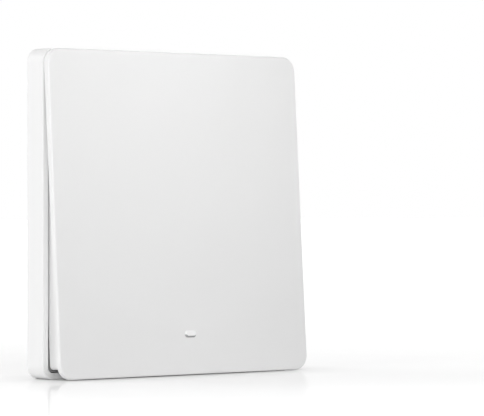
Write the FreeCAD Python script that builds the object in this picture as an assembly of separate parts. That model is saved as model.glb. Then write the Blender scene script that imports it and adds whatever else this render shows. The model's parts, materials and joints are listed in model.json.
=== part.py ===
import FreeCAD, Part
import math
import os

# Self-powered wall switch with one large spring-return rocker. Millimetres and degrees.
# Each piece is drawn with the switch lying on its back: x to the right, y up the wall, z out of the
# wall, from the middle of the back face. stand_up() then turns it so that the rocker faces -Y, +Z up.

Vector = FreeCAD.Vector
ORIGIN = Vector(0, 0, 0)
X_AXIS = Vector(1, 0, 0)
Z_AXIS = Vector(0, 0, 1)
SIDES = (-1, 1)

# Base tray
base_side = 86.0
base_corner_r = 3.4
rim_wall = 1.7
cavity_corner_r = 1.5
floor_t = 1.5
back_edge = 0.4
rim_edge = 0.25
pry_notch_w = 14.0
pry_notch_depth = 0.9
pry_notch_h = 1.6

# Wall screw slots
wall_screw_spacing = 60.3
wall_slot_w = 4.6
wall_slot_l = 8.6

# Rocker plate at rest
rocker_gap_top = 0.25
rocker_gap_bottom = 6.2
plate_t_top = 1.8
plate_t_bottom = 1.4
plate_edge_r = 0.5
plate_corner_r = 4.1
press_deg = 2.6
pip_w = 3.9
pip_h = 1.9
pip_proud = 0.6
pip_root = 0.05
pip_edge = 0.55
pip_inset = 10.8
pip_x = 1.2

# Rocker skirt and ribs
skirt_gap = 0.5
skirt_foot_gap = 0.75
skirt_t = 1.4
skirt_corner_r = 1.0
skirt_lift = 0.35
skirt_slit_run = 12.4
skirt_dip = 0.6
skirt_floor_gap = 1.7
rib_t = 1.2
rib_depth = 1.6
cross_rib_hinge_gap = 14.0
cross_rib_foot_gap = 7.8
root_sink = 0.4

# Hinge bars of the rocker in the tray's snap sockets
hinge_inset = 7.0
hinge_side_inset = 10.0
hinge_bar_r = 1.5
hinge_clear = 0.05
hinge_floor_gap = 0.8
knuckle_r = 2.0
knuckle_t = 1.6
knuckle_gap = 0.3
socket_w = 3.0
socket_wall = 1.05
socket_mouth = 2.5
socket_flare = 0.6
socket_top = 2.0

# Catches that hold the rocker out against its springs
catch_x = 20.0
catch_w = 6.0
catch_gap = 0.15
catch_side_gap = 0.45
catch_hold = 0.65
catch_post_t = 1.3
catch_entry = 0.87
catch_barb_h = 1.0
catch_barb_nose = 0.4
lip_reach = 1.5
lip_t = 1.1
lip_tab_t = 1.0

# Rubber stop pads
pad_x = 31.0
pad_l = 10.0
pad_w = 2.4
pad_edge_gap = 0.3
pad_gap = 0.19

# Return leaf springs
spring_x = 30.0
spring_w = 4.5
spring_t = 0.3
spring_run = 22.0
spring_foot_l = 6.5
spring_bend_r = 1.2
spring_rise = 5.6
spring_tip_inset = 10.8
spring_curl = 1.8
stake_half = 0.9
stake_head_half = 1.6
stake_head_h = 0.6
stake_clear = 0.1
blade_t = 1.6
blade_gap = 0.15
gusset_half = 2.4

# Generator: axle, core, magnet and pole plates
axle_y = 5.0
axle_r = 0.8
axle_clear = 0.05
axle_seat_clear = 0.02
swing_deg = 4.0
leg_offset = 4.5
leg_w = 3.2
leg_t = 1.2
leg_tip_gap = 0.3
yoke_w = 3.5
yoke_corner_r = 1.2
magnet_t = 2.2
magnet_w = 3.5
magnet_end_gap = 0.2
pole_t = 0.7
pole_w = 8.2
pole_half_l = 6.6
pole_corner = 0.6
generator_clear = 0.56
pocket_depth = 0.5
pocket_margin = 0.6

# Coil on the lower leg
bobbin_l = 10.4
bobbin_flange_t = 0.8
bobbin_tube_t = 0.5
bobbin_leg_clear = 0.1
bobbin_corner_r = 0.8
winding_build_z = 0.8
winding_build_y = 2.0
flange_lip = 0.3
terminal_half = 0.3
terminal_clear = 0.02
terminal_block_w = 1.4
terminal_block_l = 2.4
terminal_block_h = 1.8
terminal_rise = 1.35
terminal_foot = 0.3
terminal_head = 0.6

# Magnet carrier and the leaf that the rocker pushes
carrier_gap = 0.1
carrier_rail_t = 0.7
carrier_rail_gap = 0.05
carrier_block_in = 1.3
carrier_block_out = 3.0
carrier_block_half = 5.0
carrier_lip_t = 0.5
carrier_lip_reach = 1.5
carrier_lip_half = 1.5
leaf_t = 0.4
leaf_w = 6.4
leaf_seat = 2.2
leaf_lip_clear = 0.04
leaf_reach = 16.0
leaf_bend_r = 1.0
leaf_curl = 1.0
leaf_end_gap = 0.6
push_w = 5.0
push_t = 1.6
push_gap = 0.15

# Generator bracket and its screws
wall_run_gap = 0.4
bracket_wall_t = 1.8
bracket_floor_t = 0.4
bracket_rail_t = 1.2
bracket_rail_gap = 0.6
bracket_clear = 0.05
bracket_seat_margin = 0.3
bracket_cheek = 0.8
bracket_ear_r = 2.1
bracket_tab_half = 1.8
bracket_tab_t = 1.2
bracket_boss_h = 2.0
bracket_boss_half = 1.7
bobbin_gap = 0.2
yoke_gap = 0.4

# Self-tapping screws
screw_r = 0.8
screw_head_r = 1.5
screw_head_h = 1.0
screw_reach = 2.2
screw_hole_clear = 0.02

# Circuit board and its parts
board_t = 1.0
board_stand = 0.8
board_h = 14.6
board_side_gap = 0.9
board_tongue_gap = 0.2
board_pin_r = 0.8
board_pin_clear = 0.1
board_pad_half = 1.6
board_pin_x = (-6.0, 12.5)
board_pin_edge = 0.9
board_pad_rise = 2.0

# Parts on the board, each placed from the board's middle
chip_edge_share = 0.12
radio_side = 5.0
radio_h = 0.9
radio_x = 5.5
bridge_l = 4.7
bridge_w = 3.9
bridge_h = 2.4
bridge_lead_w = 0.7
bridge_lead_t = 0.25
bridge_drop = 3.4
capacitor_l = 7.0
capacitor_w = 4.3
capacitor_h = 2.6
capacitor_pitch = 5.4
capacitor_inset = 3.5
capacitor_rise = 1.1
inductor_side = 4.0
inductor_h = 1.9
inductor_corner_r = 0.7
inductor_x = -5.0
inductor_rise = 1.8
crystal_l = 3.2
crystal_w = 2.5
crystal_h = 0.8
crystal_rim = 0.25
crystal_x = 12.0
small_chip_l = 1.6
small_chip_w = 0.8
small_chip_h = 0.55
small_chip_pitch = 2.7
upper_row_count = 6
upper_row_rise = 5.7
lower_row_count = 4
lower_row_drop = 4.9

# Module cover
cover_t = 0.8
cover_wall = 0.8
cover_proud = 0.2
cover_gap = 0.24
cover_side_gap = 0.7
cover_foot_gap = 1.1
cover_top_gap = 0.2
cover_corner_r = 3.0
cover_edge = 0.4
cover_boss_half = 2.2
cover_boss_inset = 2.1
cover_boss_floor = 0.8
cover_seat_h = 3.5
cover_screw_well_r = 1.7
cover_post_half = 0.8
cover_post_inset = 1.6
cover_lug_x = 12.0
cover_lug_w = 5.0
cover_lug_reach = 1.2
cover_lug_t = 1.0
cover_hook_t = 1.0
cover_hook_gap = 0.15
window_side_gap = 0.9
window_end_gap = 1.2

# Antenna strip, on edge round the tray, and its slotted posts
antenna_t = 0.4
antenna_h = 1.6
antenna_bend_r = 4.0
antenna_side_gap = 3.9
antenna_hinge_gap = 6.0
antenna_end_y = -10.0
antenna_start_inset = 1.4
antenna_post_w = 2.2
antenna_post_l = 1.6
antenna_post_top = 0.3
antenna_clear = 0.04
antenna_notch = 0.3
antenna_post_shares = (0.25, 0.75)

# Heights above the wall that follow from the pieces inside
pocket_z = floor_t - pocket_depth
pole_sweep = magnet_t / 2 + pole_t + pole_half_l * math.sin(math.radians(swing_deg))
bobbin_half_z = leg_t / 2 + bobbin_leg_clear + bobbin_tube_t + winding_build_z + flange_lip
bobbin_half_y = leg_w / 2 + bobbin_leg_clear + bobbin_tube_t + winding_build_y + flange_lip
axle_z = pocket_z + generator_clear + max(pole_sweep, bobbin_half_z)
cover_under = axle_z + max(pole_sweep, bobbin_half_z) + cover_gap
cover_top = cover_under + cover_t
base_depth = cover_top - cover_proud
cavity_half = base_side / 2 - rim_wall
board_z = floor_t + board_stand
board_top = board_z + board_t

# Rocker frame: v runs up the plate's back face, w stands out from it
rocker_tilt = math.degrees(math.atan((rocker_gap_bottom - rocker_gap_top) / base_side))
tilt_cos = math.cos(math.radians(rocker_tilt))
tilt_sin = math.sin(math.radians(rocker_tilt))
plate_z = base_depth + (rocker_gap_top + rocker_gap_bottom) / 2
hinge_x = base_side / 2 - hinge_side_inset
hinge_y = base_side / 2 - hinge_inset
hinge_z = floor_t + hinge_floor_gap + knuckle_r
skirt_half = cavity_half - skirt_gap
skirt_v_top = skirt_half
skirt_v_bottom = (rocker_gap_bottom * tilt_sin - cavity_half + skirt_foot_gap) / tilt_cos
skirt_v_knee = skirt_v_bottom + skirt_slit_run
skirt_l_top = (plate_z - skirt_v_top * tilt_sin - floor_t - skirt_floor_gap) / tilt_cos
skirt_l_knee = (plate_z - skirt_v_knee * tilt_sin - base_depth + skirt_dip) / tilt_cos
skirt_l_bottom = (plate_z - skirt_v_bottom * tilt_sin - base_depth - skirt_lift) / tilt_cos
catch_l = (plate_z - skirt_v_bottom * tilt_sin - base_depth + catch_entry) / tilt_cos

# Stations along x, outwards from the middle of the carrier
carrier_in_x = -pole_w / 2 - carrier_gap
carrier_out_x = pole_w / 2 + carrier_gap
bracket_wall_x = carrier_in_x - carrier_block_in - wall_run_gap
bobbin_x = bracket_wall_x - bracket_wall_t - bobbin_gap
yoke_x = bobbin_x - bobbin_l - yoke_gap
bracket_end_x = yoke_x - yoke_w - bracket_cheek
ear_x = carrier_out_x + carrier_block_out + wall_run_gap
leg_tip_x = pole_w / 2 - leg_tip_gap

# Stations along y
coil_y = axle_y - leg_offset
yoke_half = leg_offset + leg_w / 2
bracket_top_y = axle_y + pole_half_l + bracket_rail_gap + bracket_rail_t
bracket_low_y = axle_y - yoke_half - bracket_seat_margin
terminal_y = coil_y - bobbin_half_y - terminal_block_l / 2
tab_y = bracket_top_y + bracket_tab_half / 2
push_y = axle_y - leaf_reach
leaf_end_y = push_y - 2 * leaf_curl
board_y = leaf_end_y - leaf_end_gap - board_h / 2
board_tongue_y = coil_y - bobbin_half_y - board_tongue_gap
spring_tip_y = spring_tip_inset - cavity_half
spring_foot_y = spring_tip_y + spring_run

# Module cover outline
cover_half = -bracket_end_x + cover_side_gap + cover_wall
cover_y_top = tab_y + bracket_tab_half + cover_top_gap + cover_wall
cover_y_low = board_y - board_h / 2 - cover_foot_gap - cover_wall
cover_h = cover_y_top - cover_y_low
cover_y = (cover_y_top + cover_y_low) / 2
board_half = cover_half - cover_wall - board_side_gap
boss_x = cover_half - cover_wall - cover_boss_inset
cover_bosses = [(s * boss_x, cover_y_top - cover_wall - cover_boss_inset) for s in SIDES]
bracket_screw_points = [((bobbin_x + yoke_x) / 2, tab_y), (ear_x + bracket_wall_t / 2, tab_y)]
bracket_tab_z = pocket_z + bracket_boss_h
cover_seat_z = floor_t + cover_seat_h
board_pins = [(x, board_y - board_h / 2 + board_pad_half + board_pin_edge) for x in board_pin_x]
terminal_points = [(bobbin_x - terminal_block_w / 2, terminal_y),
                   (bobbin_x - bobbin_l + terminal_block_w / 2, terminal_y)]
terminal_top = axle_z + terminal_rise
antenna_z = board_top + antenna_h / 2
antenna_start = (board_half - antenna_start_inset, board_y + board_h / 4)
antenna_run_x = cavity_half - antenna_side_gap
antenna_run_y = hinge_y - antenna_hinge_gap


def block(x0, x1, y0, y1, z0, z1):
    return Part.makeBox(x1 - x0, y1 - y0, z1 - z0, Vector(x0, y0, z0))


def rounded_block(width, height, radius, z0, z1, x=0.0, y=0.0):
    """Block centred on x, y with its upright edges rounded."""
    plain = block(x - width / 2, x + width / 2, y - height / 2, y + height / 2, z0, z1)
    upright = [e for e in plain.Edges if abs(e.tangentAt(e.FirstParameter).z) > 0.9]
    return plain.makeFillet(radius, upright)


def pill(length, width, z0, z1, x=0.0, y=0.0):
    """Block with half-round ends, its length along x."""
    run = (length - width) / 2
    ends = [drum(width / 2, z0, z1, x + s * run, y) for s in SIDES]
    return join([block(x - run, x + run, y - width / 2, y + width / 2, z0, z1)] + ends)


def stud(half, z0, z1, x, y):
    """Square post centred on x, y."""
    return block(x - half, x + half, y - half, y + half, z0, z1)


def drum(radius, z0, z1, x, y):
    return Part.makeCylinder(radius, z1 - z0, Vector(x, y, z0))


def rod(radius, x0, x1, y, z):
    return Part.makeCylinder(radius, x1 - x0, Vector(x0, y, z), X_AXIS)


def side_profile(points, x0, x1):
    """Outline of (y, z) points, run along x."""
    corners = [Vector(x0, y, z) for y, z in points]
    return Part.Face(Part.makePolygon(corners + corners[:1])).extrude(Vector(x1 - x0, 0, 0))


def join(shapes):
    return shapes[0].multiFuse(shapes[1:]).removeSplitter()


def edges_at(shape, z):
    return [e for e in shape.Edges if all(abs(v.Z - z) < 1e-6 for v in e.Vertexes)]


def rounded_path(points, radius):
    """Wire of straight runs joined by tangent arcs."""
    edges = []
    start = points[0]
    for before, corner, after in zip(points, points[1:], points[2:]):
        back = (before - corner).normalize()
        ahead = (after - corner).normalize()
        half = back.getAngle(ahead) / 2
        middle = (back + ahead).normalize()
        first = corner + back * (radius / math.tan(half))
        last = corner + ahead * (radius / math.tan(half))
        crown = corner + middle * (radius / math.sin(half) - radius)
        edges.append(Part.LineSegment(start, first).toShape())
        edges.append(Part.Arc(first, crown, last).toShape())
        start = last
    edges.append(Part.LineSegment(start, points[-1]).toShape())
    return Part.Wire(edges)


def strip(points, radius, thickness, width, x):
    """Bent metal strip: (y, z) points of its middle line, with the bend radius."""
    path = rounded_path([Vector(x, y, z) for y, z in points], radius)
    ahead = (path.Vertexes[1].Point - path.Vertexes[0].Point).normalize()
    across = X_AXIS * (width / 2)
    out = ahead.cross(X_AXIS) * (thickness / 2)
    start = path.Vertexes[0].Point
    corners = [start + across + out, start - across + out, start - across - out, start + across - out]
    section = Part.makePolygon(corners + corners[:1])
    return path.makePipeShell([section], True, False)


def on_plate(y, z):
    """Place of a point of the switch at rest in the rocker's own v and w."""
    return y * tilt_cos - (z - plate_z) * tilt_sin, y * tilt_sin + (z - plate_z) * tilt_cos


def off_plate(v, w):
    """Place at rest, y and z, of a point of the rocker."""
    return v * tilt_cos + w * tilt_sin, plate_z - v * tilt_sin + w * tilt_cos


def pressed(y, z):
    """Where a point of the rocker lies once the rocker is pressed home."""
    turn = math.radians(press_deg)
    dy = y - hinge_y
    dz = z - hinge_z
    return (hinge_y + dy * math.cos(turn) - dz * math.sin(turn),
            hinge_z + dy * math.sin(turn) + dz * math.cos(turn))


def carried(shape):
    """Moves a carrier piece from its axle's own place to the carrier's rest position."""
    shape.rotate(ORIGIN, X_AXIS, -swing_deg)
    shape.translate(Vector(0, axle_y, axle_z))
    return shape


def leaf_height(y):
    """Height of the pushed face of the leaf at rest, at y."""
    swing = math.radians(swing_deg)
    out = magnet_t / 2 + pole_t + leaf_t
    along = (axle_y - y + out * math.sin(swing)) / math.cos(swing)
    return axle_z + along * math.sin(swing) + out * math.cos(swing)


def spring_top():
    """Highest point of the return spring at rest."""
    return floor_t + spring_t + spring_rise


# Tray

def tray_shell():
    cavity = 2 * cavity_half
    tray = rounded_block(base_side, base_side, base_corner_r, 0, base_depth)
    tray = tray.makeChamfer(back_edge, edges_at(tray, 0))
    tray = tray.makeChamfer(rim_edge, edges_at(tray, base_depth))
    tray = tray.cut(rounded_block(cavity, cavity, cavity_corner_r, floor_t, base_depth + rim_wall))
    notch = block(-pry_notch_w / 2, pry_notch_w / 2, -base_side, pry_notch_depth - base_side / 2,
                  base_depth - pry_notch_h, base_depth + rim_wall)
    return tray.cut(notch)


def generator_pocket():
    return block(bracket_end_x - pocket_margin, ear_x + bracket_wall_t + pocket_margin,
                 board_tongue_y + board_tongue_gap - pocket_margin, bracket_top_y + pocket_margin,
                 pocket_z, floor_t + pocket_depth)


def hinge_socket(side):
    """Upright ear with a C-shaped seat that the hinge bar snaps into."""
    seat_r = hinge_bar_r + hinge_clear
    half = seat_r + socket_wall
    x0 = side * hinge_x - socket_w / 2
    x1 = side * hinge_x + socket_w / 2
    top = hinge_z + socket_top
    throat = hinge_z + math.sqrt(seat_r ** 2 - (socket_mouth / 2) ** 2)
    ear = block(x0, x1, hinge_y - half, hinge_y + half, floor_t - root_sink, top)
    low = hinge_y - socket_mouth / 2
    high = hinge_y + socket_mouth / 2
    mouth = [(low, hinge_z), (low, throat), (low - socket_flare, top), (high + socket_flare, top),
             (high, throat), (high, hinge_z)]
    return ear.cut(rod(seat_r, x0, x1, hinge_y, hinge_z)).cut(side_profile(mouth, x0, x1))


def catch_post(side):
    """Springy post whose barb stops the rocker's lip."""
    lip_v = skirt_v_bottom + skirt_t + lip_reach
    lip_y, lip_z = off_plate(skirt_v_bottom + skirt_t, lip_t - catch_l)
    lip_end = off_plate(lip_v, lip_t - catch_l)[0]
    outer = lip_end + catch_side_gap
    inner = outer + catch_post_t
    barb = lip_end - catch_hold
    under = lip_z + catch_gap
    top = under + catch_barb_h
    outline = [(inner, floor_t - root_sink), (inner, top), (outer, top), (barb, under + catch_barb_nose),
               (barb, under), (outer, under), (outer, floor_t - root_sink)]
    return side_profile(outline, side * catch_x - catch_w / 2, side * catch_x + catch_w / 2)


def wall_slots():
    return [pill(wall_slot_l, wall_slot_w, 0, floor_t, s * wall_screw_spacing / 2) for s in SIDES]


def spring_stake(side):
    """Post through the spring's foot, its end formed over into a head."""
    x = side * spring_x
    y = spring_foot_y - spring_foot_l / 2
    head = floor_t + spring_t
    return join([stud(stake_half, floor_t - root_sink, head + stake_head_h, x, y),
                 stud(stake_head_half, head, head + stake_head_h, x, y)])


def antenna_route():
    """Corner points of the antenna strip, from the board round the tray."""
    x, y = antenna_start
    points = [(x, y), (antenna_run_x, y), (antenna_run_x, antenna_run_y), (-antenna_run_x, antenna_run_y),
              (-antenna_run_x, antenna_end_y)]
    return [Vector(px, py, antenna_z) for px, py in points]


def antenna_posts():
    """Slotted posts that the antenna strip stands in."""
    low = antenna_start[1]
    spots = [(antenna_run_x / 3, antenna_run_y, 0), (-antenna_run_x / 3, antenna_run_y, 0)]
    for share in antenna_post_shares:
        spots.append((antenna_run_x, low + share * (antenna_run_y - low), 90))
        spots.append((-antenna_run_x, antenna_end_y + share * (antenna_run_y - antenna_end_y), 90))
    slot_half = antenna_t / 2 + antenna_clear
    posts = []
    for x, y, turn in spots:
        post = block(-antenna_post_l / 2, antenna_post_l / 2, -antenna_post_w / 2, antenna_post_w / 2,
                     floor_t - root_sink, board_top + antenna_h + antenna_post_top)
        post = post.cut(block(-antenna_post_l, antenna_post_l, -slot_half, slot_half,
                              board_top, board_top + antenna_h + antenna_post_w))
        post.rotate(ORIGIN, Z_AXIS, turn)
        post.translate(Vector(x, y, 0))
        posts.append(post)
    return posts


def board_supports():
    """Pads under the board, two of them with locating pins."""
    supports = []
    for x, y in board_pins:
        supports.append(stud(board_pad_half, floor_t - root_sink, board_z, x, y))
        supports.append(drum(board_pin_r, floor_t, board_top + board_pin_r, x, y))
    for x in (-board_half + 2 * board_pad_half, board_half - 2 * board_pad_half):
        supports.append(stud(board_pad_half, floor_t - root_sink, board_z, x, board_y + board_pad_rise))
    return supports


def cover_hook(side):
    """Hook that holds down a lug of the cover."""
    tip = cover_y_low - cover_hook_gap
    inner = cover_y_low - cover_lug_reach - cover_hook_gap
    outer = inner - cover_hook_t
    under = floor_t + cover_lug_t + cover_hook_gap
    outline = [(inner, floor_t - root_sink), (inner, under), (tip, under), (tip, under + cover_hook_t),
               (outer, under + cover_hook_t), (outer, floor_t - root_sink)]
    return side_profile(outline, side * cover_lug_x - cover_lug_w / 2, side * cover_lug_x + cover_lug_w / 2)


def base_housing():
    tray = tray_shell().cut(generator_pocket())
    added = [f(side) for f in (hinge_socket, catch_post, spring_stake, cover_hook) for side in SIDES]
    added += [stud(cover_boss_half, floor_t - root_sink, cover_seat_z, x, y) for x, y in cover_bosses]
    added += [stud(bracket_boss_half, pocket_z - root_sink, bracket_tab_z, x, y)
              for x, y in bracket_screw_points]
    tray = join([tray] + added + antenna_posts() + board_supports())
    hole_r = screw_r + screw_hole_clear
    holes = wall_slots()
    holes += [drum(hole_r, cover_seat_z - screw_reach - root_sink, cover_seat_z, x, y)
              for x, y in cover_bosses]
    holes += [drum(hole_r, bracket_tab_z - screw_reach, bracket_tab_z, x, y)
              for x, y in bracket_screw_points]
    return tray.cut(Part.makeCompound(holes))


# Rocker

def rocker_plate():
    """Tapered plate with rounded corners and a soft front edge."""
    half = base_side / 2
    thick = max(plate_t_top, plate_t_bottom)
    plate = rounded_block(base_side, base_side, plate_corner_r, 0, thick)
    taper = [(-half, 0), (half, 0), (half, plate_t_top), (-half, plate_t_bottom)]
    plate = plate.common(side_profile(taper, -half, half))
    front = max(plate.Faces, key=lambda f: f.CenterOfMass.z)
    return plate.makeFillet(plate_edge_r, front.Edges)


def plate_thickness(v):
    return plate_t_bottom + (plate_t_top - plate_t_bottom) * (v + base_side / 2) / base_side


def finger_pip():
    """Pill that marks where to press: a ramp from above that ends in a steep lower edge."""
    v = pip_inset - base_side / 2
    face = plate_thickness(v)
    proud = face + pip_proud
    pip = pill(pip_w, pip_h, face / 2, proud, pip_x, v)
    pip = pip.makeChamfer(pip_edge, edges_at(pip, proud))
    top = v + pip_h / 2
    over = [(top, face + pip_root), (v - pip_h / 2 + pip_edge, proud), (top, proud)]
    return pip.cut(side_profile(over, pip_x - pip_w, pip_x + pip_w))


def rocker_skirt():
    """Wall that dips into the tray at the top and stands clear of the rim at the bottom edge."""
    height = skirt_v_top - skirt_v_bottom
    middle = (skirt_v_top + skirt_v_bottom) / 2
    deep = max(skirt_l_top, skirt_l_knee, skirt_l_bottom)
    outer = rounded_block(2 * skirt_half, height, skirt_corner_r, -deep, root_sink, 0, middle)
    inner = block(skirt_t - skirt_half, skirt_half - skirt_t,
                  skirt_v_bottom + skirt_t, skirt_v_top - skirt_t, -deep, root_sink)
    foot = [(skirt_v_bottom, root_sink), (skirt_v_bottom, -skirt_l_bottom), (skirt_v_knee, -skirt_l_knee),
            (skirt_v_top, -skirt_l_top), (skirt_v_top, root_sink)]
    return outer.cut(inner).common(side_profile(foot, -skirt_half, skirt_half))


def hinge_knuckles(side):
    """Two tapered tabs with the hinge bar between them."""
    v, w = on_plate(hinge_y, hinge_z)
    reach = socket_w / 2 + knuckle_gap
    tab = [(v - 2 * knuckle_r, root_sink), (v - knuckle_r, w), (v + knuckle_r, w),
           (v + knuckle_r, root_sink)]
    pieces = []
    for x0 in (-reach - knuckle_t, reach):
        start = side * hinge_x + x0
        pieces.append(side_profile(tab, start, start + knuckle_t))
        pieces.append(rod(knuckle_r, start, start + knuckle_t, v, w))
    pieces.append(rod(hinge_bar_r, side * hinge_x - reach, side * hinge_x + reach, v, w))
    return pieces


def push_blade(half_l, thickness, x, y, z):
    """Blade with a round lower edge that presses at height z when the rocker is at rest."""
    v, w = on_plate(y, z)
    nose = w + thickness / 2
    web = block(x - half_l, x + half_l, v - thickness / 2, v + thickness / 2, nose, root_sink)
    gusset = block(x - rib_t / 2, x + rib_t / 2, v - gusset_half, v + gusset_half, nose / 2, root_sink)
    return [web, rod(thickness / 2, x - half_l, x + half_l, v, nose), gusset]


def rocker_ribs():
    """Two long ribs from the hinges to the bottom wall, and two cross ribs clear of the cover."""
    rib_x = hinge_x - socket_w / 2 - knuckle_gap - knuckle_t / 2
    ribs = [block(s * rib_x - rib_t / 2, s * rib_x + rib_t / 2, skirt_v_bottom, skirt_v_top,
                  -rib_depth, root_sink) for s in SIDES]
    ribs += [block(-skirt_half, skirt_half, v - rib_t / 2, v + rib_t / 2, -rib_depth, root_sink)
             for v in (hinge_y - cross_rib_hinge_gap, cross_rib_foot_gap - skirt_half)]
    return [r.common(block(skirt_t / 2 - skirt_half, skirt_half - skirt_t / 2,
                           skirt_v_bottom + skirt_t / 2, skirt_v_top - skirt_t / 2, -rib_depth, root_sink))
            for r in ribs]


def catch_lip(side):
    """Tab below the bottom wall, with the ledge that the catch holds."""
    x0 = side * catch_x - catch_w / 2
    x1 = side * catch_x + catch_w / 2
    v = skirt_v_bottom + skirt_t
    return [block(x0, x1, v - lip_tab_t, v, -catch_l, root_sink - skirt_l_bottom),
            block(x0, x1, v - lip_tab_t, v + lip_reach, -catch_l, lip_t - catch_l)]


def rocker_panel():
    pieces = [rocker_plate(), rocker_skirt(), finger_pip()] + rocker_ribs()
    for side in SIDES:
        pieces += hinge_knuckles(side)
        pieces += catch_lip(side)
        pieces += push_blade(spring_w / 2, blade_t, side * spring_x, spring_tip_y, spring_top() + blade_gap)
    pieces += push_blade(push_w / 2, push_t, 0, push_y, leaf_height(push_y) + push_gap)
    rocker = join(pieces)
    rocker.rotate(ORIGIN, X_AXIS, -rocker_tilt)
    rocker.translate(Vector(0, 0, plate_z))
    return rocker


# Pieces under the rocker

def stop_pads():
    """Pads just under the foot of the pressed rocker's bottom wall."""
    foot_z = pressed(*off_plate(skirt_v_bottom, -skirt_l_bottom))[1]
    y = pad_edge_gap + pad_w / 2 - cavity_half
    pads = [block(s * pad_x - pad_l / 2, s * pad_x + pad_l / 2, y - pad_w / 2, y + pad_w / 2,
                  floor_t, foot_z - pad_gap) for s in SIDES]
    return Part.makeCompound(pads)


def return_springs():
    """Leaf springs, staked at the foot, with a curled tip under the rocker's blades."""
    foot_z = floor_t + spring_t / 2
    tip_z = foot_z + spring_rise
    bend_y = spring_foot_y - spring_foot_l
    points = [(spring_foot_y, foot_z), (bend_y, foot_z), (spring_tip_y, tip_z),
              (spring_tip_y - spring_curl, tip_z - spring_curl)]
    springs = []
    for side in SIDES:
        x = side * spring_x
        hole = stud(stake_half + stake_clear, floor_t, floor_t + 2 * spring_t,
                    x, spring_foot_y - spring_foot_l / 2)
        springs.append(strip(points, spring_bend_r, spring_t, spring_w, x).cut(hole))
    return Part.makeCompound(springs)


def antenna_strip():
    path = rounded_path(antenna_route(), antenna_bend_r)
    x, y = antenna_start
    across = Vector(0, antenna_t / 2, 0)
    up = Vector(0, 0, antenna_h / 2)
    start = Vector(x, y, antenna_z)
    corners = [start + across + up, start + across - up, start - across - up, start - across + up]
    return path.makePipeShell([Part.makePolygon(corners + corners[:1])], True, False)


# Generator

def core_yoke():
    """U-shaped core: a yoke and two legs that end between the pole plates."""
    z0 = axle_z - leg_t / 2
    z1 = axle_z + leg_t / 2
    yoke = rounded_block(yoke_w, 2 * yoke_half, yoke_corner_r, z0, z1, yoke_x - yoke_w / 2, axle_y)
    legs = [block(yoke_x - yoke_w / 2, leg_tip_x, axle_y + s * leg_offset - leg_w / 2,
                  axle_y + s * leg_offset + leg_w / 2, z0, z1) for s in SIDES]
    core = join([yoke] + legs)
    return core.cut(stud(stake_half + stake_clear, z0, z1, yoke_x - yoke_w / 2, axle_y))


def tube(half_y, half_z, x0, x1, radius):
    """Bar along x round the lower leg, with rounded long edges."""
    bar = block(x0, x1, coil_y - half_y, coil_y + half_y, axle_z - half_z, axle_z + half_z)
    along = [e for e in bar.Edges if abs(e.tangentAt(e.FirstParameter).x) > 0.9]
    return bar.makeFillet(radius, along)


def leg_window(clear, x0, x1, y):
    half_w = leg_w / 2 + clear
    half_t = leg_t / 2 + clear
    return block(x0, x1, y - half_w, y + half_w, axle_z - half_t, axle_z + half_t)


def coil_bobbin():
    """Tube with two flanges and a terminal block on each flange."""
    x1 = bobbin_x
    x0 = bobbin_x - bobbin_l
    core_y = leg_w / 2 + bobbin_leg_clear + bobbin_tube_t
    core_z = leg_t / 2 + bobbin_leg_clear + bobbin_tube_t
    pieces = [tube(core_y, core_z, x0, x1, bobbin_tube_t / 2)]
    pieces += [tube(bobbin_half_y, bobbin_half_z, a, a + bobbin_flange_t, bobbin_corner_r)
               for a in (x0, x1 - bobbin_flange_t)]
    for x, y in terminal_points:
        pieces.append(block(x - terminal_block_w / 2, x + terminal_block_w / 2, y - terminal_block_l / 2,
                            y + terminal_block_l, terminal_top - terminal_block_h, terminal_top))
    bobbin = join(pieces).cut(leg_window(bobbin_leg_clear, x0, x1, coil_y))
    holes = [stud(terminal_half + terminal_clear, 0, base_depth, x, y) for x, y in terminal_points]
    return bobbin.cut(winding_space()).cut(Part.makeCompound(holes))


def winding_space():
    """Room between the flanges that the winding fills."""
    x0 = bobbin_x - bobbin_l + bobbin_flange_t
    x1 = bobbin_x - bobbin_flange_t
    core_y = leg_w / 2 + bobbin_leg_clear + bobbin_tube_t
    core_z = leg_t / 2 + bobbin_leg_clear + bobbin_tube_t
    full = tube(core_y + winding_build_y, core_z + winding_build_z, x0, x1, bobbin_corner_r)
    return full.cut(tube(core_y, core_z, x0, x1, bobbin_tube_t / 2))


def coil_winding():
    return winding_space()


def coil_terminals():
    pins = [stud(terminal_half, board_z - terminal_foot, terminal_top + terminal_head, x, y)
            for x, y in terminal_points]
    return Part.makeCompound(pins)


def magnet_carrier():
    """Frame round the magnet, with end blocks that hold the poles, the leaf and the axle pins."""
    gap_half = magnet_t / 2
    side = magnet_w / 2 + carrier_rail_gap
    back = gap_half + pole_t
    lip = back + leaf_t + leaf_lip_clear
    top = lip + carrier_lip_t
    inner_x = carrier_in_x - carrier_block_in
    outer_x = carrier_out_x + carrier_block_out
    pieces = [block(carrier_in_x, carrier_out_x, min(a, b), max(a, b), -gap_half, gap_half)
              for a, b in ((side, side + carrier_rail_t), (-side, -side - carrier_rail_t))]
    pieces.append(block(inner_x, carrier_in_x, -side - carrier_rail_t, side + carrier_rail_t, -back, top))
    pieces.append(block(carrier_out_x, outer_x, -carrier_block_half, carrier_block_half, -back, back))
    pieces.append(block(carrier_out_x, outer_x, -carrier_lip_half, carrier_lip_half, back, top))
    for start in (carrier_in_x, carrier_out_x - carrier_lip_reach):
        pieces.append(block(start, start + carrier_lip_reach, -carrier_lip_half, carrier_lip_half,
                            lip, top))
    carrier = join(pieces)
    for start, length in pin_spans():
        carrier = carrier.cut(rod(axle_r + axle_seat_clear, start, start + length, 0, 0))
    return carried(carrier)


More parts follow.
